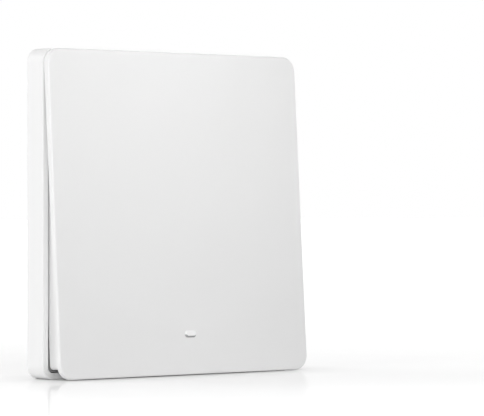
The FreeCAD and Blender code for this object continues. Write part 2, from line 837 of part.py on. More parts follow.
def pin_spans():
    """Start and length along x of the two axle pins."""
    inner = bracket_wall_x - bracket_wall_t + axle_clear
    outer_end = ear_x + bracket_wall_t - axle_clear
    inner_end = carrier_in_x - axle_clear
    outer = carrier_out_x + axle_clear
    return (inner, inner_end - inner), (outer, outer_end - outer)


def carrier_pins():
    pins = [rod(axle_r, start, start + length, 0, 0) for start, length in pin_spans()]
    return carried(Part.makeCompound(pins))


def magnet():
    half_x = pole_w / 2 - magnet_end_gap
    return carried(block(-half_x, half_x, -magnet_w / 2, magnet_w / 2, -magnet_t / 2, magnet_t / 2))


def pole_plate(z0):
    """Stamped plate with cut corners."""
    plate = block(-pole_w / 2, pole_w / 2, -pole_half_l, pole_half_l, z0, z0 + pole_t)
    upright = [e for e in plate.Edges if abs(e.tangentAt(e.FirstParameter).z) > 0.9]
    return carried(plate.makeChamfer(pole_corner, upright))


def front_pole_plate():
    return pole_plate(magnet_t / 2)


def rear_pole_plate():
    return pole_plate(-magnet_t / 2 - pole_t)


def actuator_leaf():
    """Spring leaf on the front pole, with a tip bent back where the rocker pushes."""
    z = magnet_t / 2 + pole_t + leaf_t / 2
    points = [(leaf_seat, z), (-leaf_reach - leaf_curl, z), (-leaf_reach - 2 * leaf_curl, z - leaf_curl)]
    return carried(strip(points, leaf_bend_r, leaf_t, leaf_w, 0))


def generator_bracket():
    """Frame that seats the yoke, guides the legs and carries the axle pins."""
    wall_x0 = bracket_wall_x - bracket_wall_t
    ear_x1 = ear_x + bracket_wall_t
    ear_top = axle_z + bracket_ear_r
    seat_top = axle_z - leg_t / 2
    seat_y1 = axle_y + yoke_half + bracket_seat_margin
    rail_y0 = bracket_top_y - bracket_rail_t
    tab_top = bracket_tab_z + bracket_tab_t
    pieces = [
        block(bracket_end_x, bracket_wall_x, bracket_low_y, seat_y1, pocket_z, pocket_z + bracket_floor_t),
        block(bracket_end_x, yoke_x, bracket_low_y, seat_y1, pocket_z, seat_top),
        block(bracket_end_x, yoke_x - yoke_w - bracket_clear, bracket_low_y, seat_y1, seat_top,
              seat_top + leg_t),
        stud(stake_half, pocket_z, axle_z + leg_t / 2, yoke_x - yoke_w / 2, axle_y),
        block(wall_x0, bracket_wall_x, bracket_low_y, bracket_top_y, pocket_z, ear_top),
        block(yoke_x, ear_x1, rail_y0, bracket_top_y, pocket_z, tab_top),
        block(ear_x, ear_x1, bracket_low_y, bracket_top_y, pocket_z, tab_top),
        block(ear_x, ear_x1, axle_y - bracket_ear_r, axle_y + bracket_ear_r, pocket_z, axle_z),
        rod(bracket_ear_r, ear_x, ear_x1, axle_y, axle_z),
    ]
    pieces += [stud(bracket_tab_half, bracket_tab_z, tab_top, x, y) for x, y in bracket_screw_points]
    bracket = join(pieces)
    cuts = [leg_window(bracket_clear, wall_x0, bracket_wall_x, axle_y + s * leg_offset) for s in SIDES]
    cuts.append(rod(axle_r + axle_clear, wall_x0, bracket_wall_x, axle_y, axle_z))
    cuts.append(rod(axle_r + axle_clear, ear_x, ear_x1, axle_y, axle_z))
    for x, y in bracket_screw_points:
        cuts.append(stud(bracket_boss_half + bracket_clear, pocket_z, bracket_tab_z, x, y))
        cuts.append(drum(screw_r + screw_hole_clear, bracket_tab_z, ear_top, x, y))
    return bracket.cut(Part.makeCompound(cuts))


# Fasteners

def screw(x, y, head_z, length):
    """Cheese-head screw, its head seated at head_z."""
    head = drum(screw_head_r, head_z, head_z + screw_head_h, x, y)
    return join([head, drum(screw_r, head_z - length, head_z, x, y)])


def bracket_screws():
    seat = bracket_tab_z + bracket_tab_t
    return Part.makeCompound([screw(x, y, seat, bracket_tab_t + screw_reach - root_sink)
                              for x, y in bracket_screw_points])


def cover_screws():
    seat = cover_seat_z + cover_boss_floor
    return Part.makeCompound([screw(x, y, seat, cover_boss_floor + screw_reach) for x, y in cover_bosses])


# Circuit board and cover

def circuit_board():
    """Board with a tongue up to the coil's terminals."""
    low_y = board_y - board_h / 2
    tongue_x1 = terminal_points[0][0] + terminal_block_w
    main = block(-board_half, board_half, low_y, low_y + board_h, board_z, board_top)
    tongue = block(-board_half, tongue_x1, board_y, board_tongue_y, board_z, board_top)
    cuts = [drum(board_pin_r + board_pin_clear, board_z, board_top, x, y) for x, y in board_pins]
    cuts += [stud(terminal_half + board_pin_clear, board_z, board_top, x, y) for x, y in terminal_points]
    return join([main, tongue]).cut(Part.makeCompound(cuts))


def chip(length, width, height, x, y):
    """Part on the board with its top edges chamfered."""
    top = board_top + height
    body = block(x - length / 2, x + length / 2, y - width / 2, y + width / 2, board_top, top)
    return body.makeChamfer(chip_edge_share * height, edges_at(body, top))


def radio_chip():
    return chip(radio_side, radio_side, radio_h, radio_x, board_y)


def rectifier_bridge():
    """Bridge below the coil's terminals, with flat leads on both long sides."""
    x = (terminal_points[0][0] + terminal_points[1][0]) / 2
    y = terminal_y - bridge_drop
    reach = bridge_w / 2 + bridge_lead_w
    leads = [block(x + s * bridge_l / 4 - bridge_lead_w / 2, x + s * bridge_l / 4 + bridge_lead_w / 2,
                   y - reach, y + reach, board_top, board_top + bridge_lead_t) for s in SIDES]
    return join([chip(bridge_l, bridge_w, bridge_h, x, y)] + leads)


def storage_capacitors():
    x = capacitor_inset + capacitor_l / 2 - board_half
    y = board_y + capacitor_rise
    return Part.makeCompound([chip(capacitor_l, capacitor_w, capacitor_h, x, y + s * capacitor_pitch / 2)
                              for s in SIDES])


def power_inductor():
    return rounded_block(inductor_side, inductor_side, inductor_corner_r, board_top, board_top + inductor_h,
                         inductor_x, board_y + inductor_rise)


def timing_crystal():
    """Shallow case with a welded lid."""
    case = block(crystal_x - crystal_l / 2, crystal_x + crystal_l / 2, board_y - crystal_w / 2,
                 board_y + crystal_w / 2, board_top, board_top + crystal_h / 2)
    lid = chip(crystal_l - 2 * crystal_rim, crystal_w - 2 * crystal_rim, crystal_h, crystal_x, board_y)
    return join([case, lid])


def chip_parts():
    """Rows of small resistors and capacitors along the board."""
    spots = [(n * small_chip_pitch, board_y + upper_row_rise) for n in range(upper_row_count)]
    spots += [(n * small_chip_pitch, board_y - lower_row_drop) for n in range(lower_row_count)]
    return Part.makeCompound([chip(small_chip_l, small_chip_w, small_chip_h, x, y) for x, y in spots])


def module_cover():
    """Lid with side walls down to the floor, sunk screw seats and a window over the carrier."""
    shell = rounded_block(2 * cover_half, cover_h, cover_corner_r, floor_t, cover_top, 0, cover_y)
    shell = shell.makeChamfer(cover_edge, edges_at(shell, cover_top))
    inner = rounded_block(2 * (cover_half - cover_wall), cover_h - 2 * cover_wall,
                          cover_corner_r - cover_wall, floor_t, cover_under, 0, cover_y)
    under_edge = cover_top - cover_edge
    inside = rounded_block(2 * cover_half - cover_wall, cover_h - cover_wall,
                           cover_corner_r - cover_wall / 2, cover_seat_z, under_edge, 0, cover_y)
    pieces = [stud(cover_boss_half, cover_seat_z, under_edge, x, y).common(inside) for x, y in cover_bosses]
    pieces += [stud(cover_post_half, board_top, under_edge, s * (board_half - cover_post_inset), y)
               for s, y in ((1, board_y - board_h / 8), (-1, board_y + board_h / 2))]
    pieces += [block(s * cover_lug_x - cover_lug_w / 2, s * cover_lug_x + cover_lug_w / 2,
                     cover_y_low - cover_lug_reach, cover_y_low + cover_wall, floor_t, floor_t + cover_lug_t)
               for s in SIDES]
    lid = join([shell.cut(inner)] + pieces)
    low_y = leaf_end_y - window_end_gap
    high_y = axle_y + pole_half_l + window_end_gap
    x0 = carrier_in_x - carrier_block_in - window_side_gap
    x1 = carrier_out_x + carrier_block_out + window_side_gap
    cuts = [block(x0, x1, low_y, high_y, cover_under, cover_top)]
    for x, y in cover_bosses:
        cuts.append(drum(cover_screw_well_r, cover_seat_z + cover_boss_floor, cover_top, x, y))
        cuts.append(drum(screw_r + screw_hole_clear, cover_seat_z, cover_top, x, y))
        cuts.append(stud(cover_boss_half + bracket_clear, floor_t, cover_seat_z, x, y))
    half_notch = antenna_t / 2 + antenna_notch
    y = antenna_start[1]
    cuts.append(block(cover_half - 2 * cover_wall, cover_half, y - half_notch, y + half_notch,
                      floor_t, board_top + antenna_h + antenna_notch))
    return lid.cut(Part.makeCompound(cuts))


PIECES = (
    base_housing, rocker_panel, stop_pads, return_springs, antenna_strip, core_yoke, coil_bobbin,
    coil_winding, coil_terminals, magnet_carrier, carrier_pins, magnet, front_pole_plate, rear_pole_plate,
    actuator_leaf, generator_bracket, bracket_screws, cover_screws, circuit_board, radio_chip,
    rectifier_bridge, storage_capacitors, power_inductor, timing_crystal, chip_parts, module_cover,
)


def stand_up(shape):
    shape.rotate(ORIGIN, X_AXIS, 90)
    return shape


os.makedirs("parts", exist_ok=True)
for piece in PIECES:
    stand_up(piece()).exportStep("parts/" + piece.__name__ + ".step")
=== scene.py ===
"""Looks of the square wall switch: satin white tray and rocker, generator and radio board inside."""
import json
import math

import bmesh
import bpy
from mathutils import Matrix, Vector


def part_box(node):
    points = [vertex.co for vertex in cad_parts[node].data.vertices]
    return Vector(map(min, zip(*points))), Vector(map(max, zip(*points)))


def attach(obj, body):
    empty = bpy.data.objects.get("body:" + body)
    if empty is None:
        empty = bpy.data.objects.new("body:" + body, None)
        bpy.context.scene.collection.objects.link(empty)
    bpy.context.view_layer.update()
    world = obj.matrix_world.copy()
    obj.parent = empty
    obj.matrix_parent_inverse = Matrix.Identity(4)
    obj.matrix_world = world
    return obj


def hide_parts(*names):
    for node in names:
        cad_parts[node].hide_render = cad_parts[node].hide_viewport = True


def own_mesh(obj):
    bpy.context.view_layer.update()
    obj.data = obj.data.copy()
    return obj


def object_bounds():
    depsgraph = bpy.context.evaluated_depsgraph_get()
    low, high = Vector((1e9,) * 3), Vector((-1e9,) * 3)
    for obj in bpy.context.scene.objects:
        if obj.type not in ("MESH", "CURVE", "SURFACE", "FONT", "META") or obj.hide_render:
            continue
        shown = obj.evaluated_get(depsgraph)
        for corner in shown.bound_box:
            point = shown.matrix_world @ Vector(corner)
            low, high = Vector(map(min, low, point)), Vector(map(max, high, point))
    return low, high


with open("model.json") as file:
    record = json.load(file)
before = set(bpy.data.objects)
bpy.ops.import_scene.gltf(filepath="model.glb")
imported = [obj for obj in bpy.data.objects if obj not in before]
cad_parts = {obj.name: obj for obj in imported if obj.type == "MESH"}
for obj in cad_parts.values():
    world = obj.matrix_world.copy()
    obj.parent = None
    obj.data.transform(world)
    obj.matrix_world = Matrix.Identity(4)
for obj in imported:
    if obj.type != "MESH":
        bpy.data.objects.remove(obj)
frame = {"nodes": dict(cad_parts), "record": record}
cad_low, cad_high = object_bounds()
NODES = frame["nodes"]
MM = 0.001

# Camera as the photograph was taken, in millimetres, degrees and pixels
IMAGE_WIDTH = 484
SENSOR = 36.0
FOCAL_PIXELS = 3116.6
CAMERA_AZIMUTH = -39.6319
CAMERA_DISTANCE = 839.828
CAMERA_HEIGHT = 2.8408
CAMERA_YAW = -1.6235
CAMERA_PITCH = -0.0935

# Light: radiance of the dome, then each lamp's kind, settings, place and the point that it faces
SKY = 0.33
MIDDLE = (0.0, 0.0, 0.0)
LAMPS = {
    "front_sun": ("SUN", {"energy": 0.6, "angle": math.radians(4)}, (-0.609, -0.793, 0.052), MIDDLE),
    "left_sun": ("SUN", {"energy": 0.88, "angle": math.radians(16)}, (-0.985, -0.174, 0.052), MIDDLE),
    "back_sun": ("SUN", {"energy": 2.2, "angle": math.radians(40)}, (-0.498, 0.863, 0.087), MIDDLE),
    "right_sun": ("SUN", {"energy": 1.2, "angle": math.radians(40)}, (0.980, -0.090, 0.174), MIDDLE),
    "near_lamp": ("AREA", {"energy": 0.18, "size": 0.12}, (-0.12, -0.25, 0.15), MIDDLE),
    "top_lamp": ("AREA", {"energy": 0.0074, "size": 0.04, "spread": math.radians(28)},
                 (-0.05, -0.40, 0.15), (0.0, -0.012, 0.048)),
}
MATT_LAMP = "back_sun"    # its gloss would burn out the tray's side
BLACK = (0.0, 0.0, 0.0, 1.0)
WHITE = (1.0, 1.0, 1.0, 1.0)

# Floor: side and reaches in metres, shades as shares of white. The dip and the contact darkening are painted
# shade in its glow
FLOOR_SIDE = 12.0
FLOOR_SHADE = (0.75, 0.75, 0.75, 1.0)
FLOOR_ROUGHNESS = 0.6
FLOOR_GLOW = 0.78
# Painted shade and painted contact shadow: how far the glow dims near the switch and in the occlusion round
# it
FLOOR_PAINTED_DIP = 0.26
CONTACT_REACH = 0.02
CONTACT_POWER = 0.8
FLOOR_MIRROR = 0.6
MIRROR_ROUGHNESS = 0.005
GRAZING_POWER = 3.0
POLISH_AND_SHADE_REACH = 0.15

# Mould grain of the plastics
MOULD_GRAIN = 0.12 * MM
MOULD_DEPTH = 0.0012 * MM
PIGMENT_DRIFT = 17 * MM
WHITE_ROUGHNESS = 0.42

# Pip on the rocker, seen from the front, and where its painted highlight and painted shade begin and end
PIP_MIDDLE = (1.2 * MM, -31.98 * MM)
PIP_HALF = (1.95 * MM, 0.95 * MM)
PIP_FRONT = (-13.7 * MM, -13.8 * MM)
# Painted highlight: the pip's face is drawn lighter than the plastic
PIP_HIGHLIGHT_EDGE = (0.0, 0.15 * MM)
PIP_HIGHLIGHT_FACTOR = 1.12
RUB_POLISH = 0.12
# Painted shade: a dark line drawn in the crease along the pip's lower edge
CREASE_OUTER = (-0.12 * MM, 0.03 * MM)
CREASE_INNER = (0.35 * MM, 0.5 * MM)
CREASE_TOP = (-0.15 * MM, 0.45 * MM)
CREASE_PAINTED_SHADE = 0.4

# Tracks and pads of the board
TRACK_SPACING = 0.9 * MM
TRACK_EDGE = (0.58, 0.7)
TRACK_RUN = 5.3 * MM
TRACK_STEP_START = 1.6 * MM
TRACK_STEP = 1.7 * MM
TRACK_BLOCK = 6.7 * MM
BLOCK_STRETCH = 1.4
PAD_SPACING = 3.3 * MM
PAD_EDGE = (0.12, 0.15)
PAD_SCATTER = 0.8
TRACK_DEPTH = 0.02 * MM

# Screws, with the recess as shares of the head
SCREW_HEAD_HEIGHT = 1.0 * MM
SCREW_HEAD_DOME = 0.38
SCREW_SHANK_RADIUS = 0.8 * MM
SCREW_TIP = 0.45
SCREW_PITCH = 0.6 * MM
SCREW_THREAD = 0.17 * MM
RECESS_SPAN = 1.1
RECESS_WIDTH = 0.26
RECESS_DEPTH = 0.55

# Coil wire, and its ends on the posts
WIRE_RADIUS = 0.11 * MM
COIL_SQUARENESS = 0.35
LAYER_DROP = 1.2
WRAP_RADIUS = 0.09 * MM
WRAP_TURNS = 2.5
WRAP_LENGTH = 0.44 * MM
WRAP_BACK = 0.32 * MM
WRAP_SQUARENESS = 0.4

# Solder and chip ends
SOLDER_FOOT = 0.75 * MM
SOLDER_HEIGHT = 0.6 * MM
SOLDER_POST = 0.36 * MM
SOLDER_HOLLOW = 2.2
CHIP_CAP_SHARE = 0.26
CHIP_CAP_PROUD = 0.02 * MM
CHIP_CAP_SQUARENESS = 10.0

# Meshes: corners this near are one, and edges sharper than this stay sharp
WELD = 0.001 * MM
SHARP_SOLID = math.radians(30)
SHARP_GROWN = math.radians(35)


# Node sums

class Value:
    """A socket of a node tree. Sums on it add Math nodes."""

    def __init__(self, graph, socket):
        self.graph = graph
        self.socket = socket

    def __add__(self, other):
        return self.graph.math("ADD", self, other)

    def __sub__(self, other):
        return self.graph.math("SUBTRACT", self, other)

    def __rsub__(self, other):
        return self.graph.math("SUBTRACT", other, self)

    def __mul__(self, other):
        return self.graph.math("MULTIPLY", self, other)

    def __truediv__(self, other):
        return self.graph.math("DIVIDE", self, other)

    def __rtruediv__(self, other):
        return self.graph.math("DIVIDE", other, self)

    def __pow__(self, other):
        return self.graph.math("POWER", self, other)

    def __rpow__(self, other):
        return self.graph.math("POWER", other, self)

    def __abs__(self):
        return self.graph.math("ABSOLUTE", self)

    def __gt__(self, other):
        return self.graph.math("GREATER_THAN", self, other)

    __radd__ = __add__
    __rmul__ = __mul__


class Graph:
    """A node tree that nodes are added to."""

    def __init__(self, tree):
        self.tree = tree

    def node(self, kind, settings=None, values=None, out=0):
        """Adds a node, sets it up, fills its sockets and gives one output, or several for a tuple."""
        made = self.tree.nodes.new(kind)
        for name, value in (settings or {}).items():
            setattr(made, name, value)
        self.fill(made, values or {})
        if isinstance(out, tuple):
            return [Value(self, made.outputs[key]) for key in out]
        return Value(self, made.outputs[out]) if made.outputs else made

    def fill(self, made, values):
        """Sets or links sockets of a node. A list links several values to one socket."""
        for key, value in values.items():
            for one in value if isinstance(value, list) else [value]:
                if isinstance(one, Value):
                    self.tree.links.new(one.socket, made.inputs[key])
                else:
                    made.inputs[key].default_value = one

    def math(self, operation, *terms):
        return self.node("ShaderNodeMath", {"operation": operation}, dict(enumerate(terms)))


class Finish(Graph):
    """A material with one Principled surface, patterned in the piece's own coordinates."""

    def __init__(self, name):
        self.material = bpy.data.materials.new(name)
        self.material.use_nodes = True
        super().__init__(self.material.node_tree)
        self.surface = self.tree.nodes["Principled BSDF"]
        self.place = self.node("ShaderNodeTexCoord", out="Object")

    def axes(self):
        """The x, y and z of the place."""
        return self.node("ShaderNodeSeparateXYZ", {}, {0: self.place}, out=(0, 1, 2))

    def noise(self, size, detail=2.0, stretch=(1.0, 1.0, 1.0)):
        """Cloudy pattern with patches of this size, drawn out along the axes with a large stretch."""
        place = self.node("ShaderNodeVectorMath", {"operation": "DIVIDE"}, {0: self.place, 1: stretch})
        return self.node("ShaderNodeTexNoise", {}, {"Vector": place, "Scale": 1.0 / size, "Detail": detail})

    def step(self, value, start, end):
        """0 at the start and before, 1 at the end and after, smooth between them."""
        smooth = {"interpolation_type": "SMOOTHSTEP"}
        return self.node("ShaderNodeMapRange", smooth, {0: value, 1: start, 2: end})

    def mix(self, share, first, second):
        """Colour between two colours."""
        return self.node("ShaderNodeMix", {"data_type": "RGBA"}, {0: share, 6: first, 7: second}, out=2)

    def shades(self, share, colour, darkest, lightest):
        """A colour that goes from its darkest to its lightest shade."""
        return self.mix(share, shaded(colour, darkest), shaded(colour, lightest))

    def bump(self, height, depth):
        return self.node("ShaderNodeBump", {}, {"Height": height, "Distance": depth})

    def wear(self, values):
        """Fills sockets of the Principled surface and gives the material."""
        self.fill(self.surface, values)
        return self.material


class Tree(Graph):
    """A Geometry Nodes tree with named inputs, which puts one shape at every point and gives it a finish."""

    def __init__(self, name, inputs):
        super().__init__(bpy.data.node_groups.new(name, "GeometryNodeTree"))
        face = self.tree.interface
        kinds = {"Points": "Geometry", **inputs, "Finish": "Material"}
        self.keys = {}
        for label, kind in kinds.items():
            socket = face.new_socket(label, in_out="INPUT", socket_type="NodeSocket" + kind)
            self.keys[label] = socket.identifier
        face.new_socket("Shape", in_out="OUTPUT", socket_type="NodeSocketGeometry")
        self.given = dict(zip(kinds, self.node("NodeGroupInput", out=tuple(kinds))))
        place = self.node("GeometryNodeInputPosition")
        self.x, self.y, self.z = self.node("ShaderNodeSeparateXYZ", {}, {0: place}, out=(0, 1, 2))

    def vector(self, x, y, z):
        return self.node("ShaderNodeCombineXYZ", {}, {0: x, 1: y, 2: z})

    def shape(self, blank, x, y, z):
        """Moves each point of a blank to a place worked out from where it is."""
        place = self.vector(x, y, z)
        return self.node("GeometryNodeSetPosition", {}, {"Geometry": blank, "Position": place})

    def soften(self, shape, limit):
        """Smooth shading, apart from edges where faces meet at more than the limit."""
        smooth = self.node("GeometryNodeSetShadeSmooth", {"domain": "FACE"}, {0: shape, 2: True})
        sharp = self.node("GeometryNodeInputMeshEdgeAngle") > limit
        return self.node("GeometryNodeSetShadeSmooth", {"domain": "EDGE"}, {0: smooth, 1: sharp, 2: False})

    def close(self, shape, turn):
        """Puts the shape at every point, turned by x, y and z, and ends the tree."""
        turned = self.node("FunctionNodeEulerToRotation", {}, {0: self.vector(*turn)})
        soft = self.soften(shape, SHARP_GROWN)
        placed = self.node("GeometryNodeInstanceOnPoints", {}, {
            "Points": self.given["Points"], "Instance": soft, "Rotation": turned})
        real = self.node("GeometryNodeRealizeInstances", {}, {"Geometry": placed})
        done = self.node("GeometryNodeSetMaterial", {}, {"Geometry": real, "Material": self.given["Finish"]})
        self.node("NodeGroupOutput", {}, {0: done})
        return self


# Finishes

def shaded(colour, factor):
    """A lighter or darker shade of a colour, as a socket takes it."""
    return (*[min(1.0, c * factor) for c in colour], 1.0)


def swing(middle, reach, share):
    """Goes from the reach below the middle to the reach above it."""
    return middle - reach + 2 * reach * share


def mould_skin(finish, colour, roughness, grain, depth):
    """Spark-eroded mould grain with a slow drift of pigment and polish."""
    drift = finish.noise(PIGMENT_DRIFT, detail=3.0)
    pits = finish.noise(grain)
    return {
        "Base Color": finish.shades(drift, colour, 0.99, 1.01),
        "Roughness": swing(roughness, 0.04, drift) + swing(0.0, 0.025, pits),
        "Normal": finish.bump(pits, depth),
    }


def moulded_plastic(name, colour, roughness, grain=MOULD_GRAIN, depth=MOULD_DEPTH):
    """Plain moulded plastic."""
    finish = Finish(name)
    return finish.wear(mould_skin(finish, colour, roughness, grain, depth))


def pressed_panel(name, colour):
    """White plastic of the rocker, with a painted highlight on the pip's face and painted shade in the
    crease below the pip.
    """
    finish = Finish(name)
    x, y, z = finish.axes()
    across = abs(x - PIP_MIDDLE[0]) - (PIP_HALF[0] - PIP_HALF[1])
    across = finish.math("MAXIMUM", across, 0.0)
    below = PIP_MIDDLE[1] - z
    inside = PIP_HALF[1] - (across * across + below * below) ** 0.5
    proud = finish.step(y, *PIP_FRONT)
    # Painted highlight on the pip's face, which also gets a lower roughness
    highlight_and_polish = proud * finish.step(inside, *PIP_HIGHLIGHT_EDGE)
    # Painted shade in the crease below the pip
    band = finish.step(inside, *CREASE_OUTER) * (1.0 - finish.step(inside, *CREASE_INNER))
    crease = proud * finish.step(below, *CREASE_TOP) * band
    skin = mould_skin(finish, colour, WHITE_ROUGHNESS, MOULD_GRAIN, MOULD_DEPTH)
    bright = finish.mix(highlight_and_polish, skin["Base Color"], shaded(colour, PIP_HIGHLIGHT_FACTOR))
    skin["Base Color"] = finish.mix(crease, bright, shaded(colour, CREASE_PAINTED_SHADE))
    skin["Roughness"] -= RUB_POLISH * highlight_and_polish
    return finish.wear(skin)


def rolled_metal(name, colour, roughness, stretch, streak=0.09 * MM):
    """Rolled or ground metal with fine streaks along the long axis of stretch."""
    finish = Finish(name)
    streaks = finish.noise(streak, detail=3.0, stretch=stretch)
    stain = finish.noise(3 * MM, detail=4.0)
    return finish.wear({
        "Base Color": finish.shades(0.6 * streaks + 0.4 * stain, colour, 0.82, 1.12),
        "Metallic": 1.0,
        "Roughness": swing(roughness, 0.08, streaks),
        "Normal": finish.bump(streaks, 0.0015 * MM),
    })


def plated_metal(name, colour, roughness):
    """Bright plating with faint clouding."""
    finish = Finish(name)
    cloud = finish.noise(1.2 * MM, detail=4.0)
    return finish.wear({
        "Base Color": finish.shades(cloud, colour, 0.9, 1.06),
        "Metallic": 1.0,
        "Roughness": swing(roughness, 0.07, cloud),
        "Normal": finish.bump(finish.noise(0.3 * MM), 0.001 * MM),
    })


def enamelled_copper(name, colour):
    """Copper wire under a clear enamel, each turn a little lighter or darker than the next."""
    finish = Finish(name)
    turns = finish.noise(0.5 * MM, stretch=(0.4, 6.0, 6.0))
    return finish.wear({
        "Base Color": finish.shades(turns, colour, 0.72, 1.2),
        "Metallic": 1.0,
        "Roughness": swing(0.3, 0.06, turns),
        "Coat Weight": 0.6,
        "Coat Roughness": 0.12,
    })


def track_bundle(finish, along, over):
    """Ridges of parallel tracks that run along one way and step aside at half right angles."""
    aside = finish.math("PINGPONG", along, TRACK_RUN) - TRACK_STEP_START
    aside = finish.math("MINIMUM", finish.math("MAXIMUM", aside, 0.0), TRACK_STEP)
    return finish.math("PINGPONG", over + aside, TRACK_SPACING / 2) / (TRACK_SPACING / 2)


def solder_mask(name, colour):
    """Green lacquer over copper tracks and pads, which show lighter and stand a little proud."""
    finish = Finish(name)
    across, _, up = finish.axes()
    flat = finish.node("ShaderNodeCombineXYZ", {}, {0: across, 1: BLOCK_STRETCH * up})
    block = finish.node("ShaderNodeTexChecker", {}, {"Vector": flat, "Scale": 1.0 / TRACK_BLOCK}, out=1)
    ridge = block * track_bundle(finish, across, up) + (1.0 - block) * track_bundle(finish, up, across)
    spots = finish.node("ShaderNodeTexVoronoi", {"voronoi_dimensions": "2D"}, {
        "Vector": flat, "Scale": 1.0 / PAD_SPACING, "Randomness": PAD_SCATTER}, out="Distance")
    pads = 1.0 - finish.step(spots, *PAD_EDGE)
    copper = finish.math("MAXIMUM", finish.step(ridge, *TRACK_EDGE), pads)
    cloud = finish.noise(4 * MM, detail=3.0)
    return finish.wear({
        "Base Color": finish.shades(0.75 * copper + 0.25 * cloud, colour, 0.8, 1.7),
        "Roughness": swing(0.33, 0.05, cloud),
        "Coat Weight": 0.35,
        "Coat Roughness": 0.2,
        "Normal": finish.bump(copper, TRACK_DEPTH),
    })


def pressed_powder(name, colour, roughness, grain):
    """Pressed ferrite, fired ceramic or rubber, with open grain."""
    finish = Finish(name)
    grains = finish.noise(grain, detail=4.0)
    cloud = finish.noise(1.6 * MM)
    return finish.wear({
        "Base Color": finish.shades(0.5 * grains + 0.5 * cloud, colour, 0.75, 1.3),
        "Roughness": swing(roughness, 0.06, grains),
        "Normal": finish.bump(grains, 0.006 * MM),
    })


SLOT_COLOURS = {m["slot"]: tuple(m["base_color"]) for m in frame["record"]["materials"]}
ALONG_X = (30.0, 1.0, 1.0)
ALONG_Z = (1.0, 1.0, 30.0)


def finish_of(slot):
    """The material of a slot of the record."""
    colour = SLOT_COLOURS[slot]
    if slot == "white_plastic":
        return moulded_plastic(slot, colour, WHITE_ROUGHNESS)
    if slot.endswith("_plastic"):
        return moulded_plastic(slot, colour, 0.5)
    if slot in ("spring_steel", "core_iron"):
        return rolled_metal(slot, colour, 0.34, ALONG_Z)
    if slot == "pin_steel":
        return rolled_metal(slot, colour, 0.24, ALONG_X)
    if slot == "winding_copper":
        return enamelled_copper(slot, colour)
    if slot == "board_green":
        return solder_mask(slot, colour)
    if slot in ("magnet_nickel", "tinned_metal", "screw_zinc", "crystal_can"):
        return plated_metal(slot, colour, 0.27)
    if slot in ("chip_black", "capacitor_tan"):
        return moulded_plastic(slot, colour, 0.55, 0.07 * MM, 0.002 * MM)
    return pressed_powder(slot, colour, 0.7, 0.08 * MM)


FINISHES = {slot: finish_of(slot) for slot in SLOT_COLOURS}
for part in frame["record"]["subparts"]:
    cad_mesh = NODES[part["node"]].data
    cad_mesh.materials.clear()
    cad_mesh.materials.append(FINISHES[part["material_slot"]])
# The rocker's white carries the painted highlight and painted shade at the pip
NODES["rocker_panel"].data.materials[0] = pressed_panel("rocker_white", SLOT_COLOURS["white_plastic"])


# Making pieces

def welded(node):
    """Copy of a CAD node's mesh with its corners joined."""
    copy = bmesh.new()
    copy.from_mesh(NODES[node].data)
    bmesh.ops.remove_doubles(copy, verts=copy.verts, dist=WELD)
    return copy


def solid_boxes(node):
    """Lowest and highest corners of each separate solid of a CAD node, from left to right."""
    copy = welded(node)
    left = set(copy.verts)
    boxes = []
    while left:
        found = [left.pop()]
        for vert in found:
            near = left.intersection(edge.other_vert(vert) for edge in vert.link_edges)
            left -= near
            found.extend(near)
        spots = [vert.co for vert in found]
        boxes.append((Vector(map(min, *spots)), Vector(map(max, *spots))))
    copy.free()
    return sorted(boxes, key=lambda box: (round(box[0].x, 6), round(box[0].z, 6)))


def settle(name, mesh):
    """Puts a finished mesh in the scene as a piece of the tray."""
    piece = bpy.data.objects.new(name, mesh)
    bpy.context.scene.collection.objects.link(piece)
    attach(piece, "base")
    return piece


def dressed(name, copy, slot):
    """Makes a piece from a worked copy of a solid."""
    mesh = bpy.data.meshes.new(name)
    copy.to_mesh(mesh)
    copy.free()
    mesh.shade_smooth()
    mesh.set_sharp_from_angle(angle=SHARP_SOLID)
    mesh.materials.append(FINISHES[slot])
    return settle(name, mesh)


def grow(name, tree, points, sizes, slot):
    """Runs a tree on some points and makes a piece of the plain mesh that comes out."""
    seeds = bpy.data.meshes.new(name + "_points")
    seeds.from_pydata(points, [], [])
    holder = bpy.data.objects.new(name + "_points", seeds)
    bpy.context.scene.collection.objects.link(holder)
    modifier = holder.modifiers.new(name, "NODES")
    modifier.node_group = tree.tree
    for label, size in {**sizes, "Finish": FINISHES[slot]}.items():
        modifier[tree.keys[label]] = size
    ready = holder.evaluated_get(bpy.context.evaluated_depsgraph_get())
    mesh = bpy.data.meshes.new_from_object(ready)
    holder.modifiers.clear()
    bpy.data.objects.remove(holder)
    mesh.name = name
    return settle(name, mesh)


# Screws

